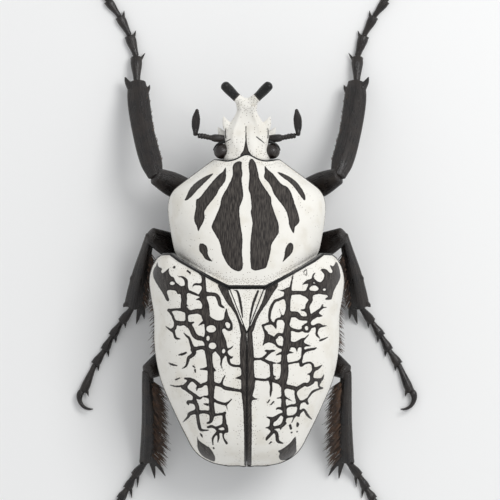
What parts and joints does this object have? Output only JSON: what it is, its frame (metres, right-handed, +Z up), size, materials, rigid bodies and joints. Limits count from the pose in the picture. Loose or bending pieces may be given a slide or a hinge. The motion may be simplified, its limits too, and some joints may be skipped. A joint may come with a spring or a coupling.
{
  "type": "goliath beetle",
  "caption": "Still, life-size model of a male goliath beetle standing with its legs spread, white with a black net on its wing cases and a forked horn.",
  "frame": {"origin": "on the floor under the middle of the outstretched animal's bounding box", "axes": "+Z up from the floor, +Y towards the tail, +X to the beetle's left"},
  "size_m": [0.0802, 0.1396, 0.0336],
  "materials": {
    "white_shell": "velvety chalk white shell with black markings",
    "black_shell": "glossy black chitin of legs, horn and antennae",
    "eyes": "polished, finely faceted dark brown",
    "underside": "glossy greenish black chitin",
    "hair": "dark rusty brown bristles"
  },
  "bodies": {
    "root": {"pronotum": "white_shell", "scutellum": "white_shell", "elytron_left": "white_shell", "elytron_right": "white_shell", "head": "white_shell", "eye_left": "eyes", "eye_right": "eyes", "prothorax_underside": "underside", "thorax": "underside", "abdomen": "underside", "pygidium": "underside", "horn": "black_shell", "antenna_left": "black_shell", "antenna_right": "black_shell", "antenna_club_left": "black_shell", "antenna_club_right": "black_shell", "palp_left": "black_shell", "palp_right": "black_shell", "fore_coxa_left": "black_shell", "fore_coxa_right": "black_shell", "fore_femur_left": "black_shell", "fore_femur_right": "black_shell", "fore_tibia_left": "black_shell", "fore_tibia_right": "black_shell", "fore_tarsus_left": "black_shell", "fore_tarsus_right": "black_shell", "fore_claws_left": "black_shell", "fore_claws_right": "black_shell", "mid_coxa_left": "black_shell", "mid_coxa_right": "black_shell", "mid_femur_left": "black_shell", "mid_femur_right": "black_shell", "mid_tibia_left": "black_shell", "mid_tibia_right": "black_shell", "mid_tarsus_left": "black_shell", "mid_tarsus_right": "black_shell", "mid_claws_left": "black_shell", "mid_claws_right": "black_shell", "hind_coxa_left": "black_shell", "hind_coxa_right": "black_shell", "hind_femur_left": "black_shell", "hind_femur_right": "black_shell", "hind_tibia_left": "black_shell", "hind_tibia_right": "black_shell", "hind_tarsus_left": "black_shell", "hind_tarsus_right": "black_shell", "hind_claws_left": "black_shell", "hind_claws_right": "black_shell"}
  },
  "joints": []
}
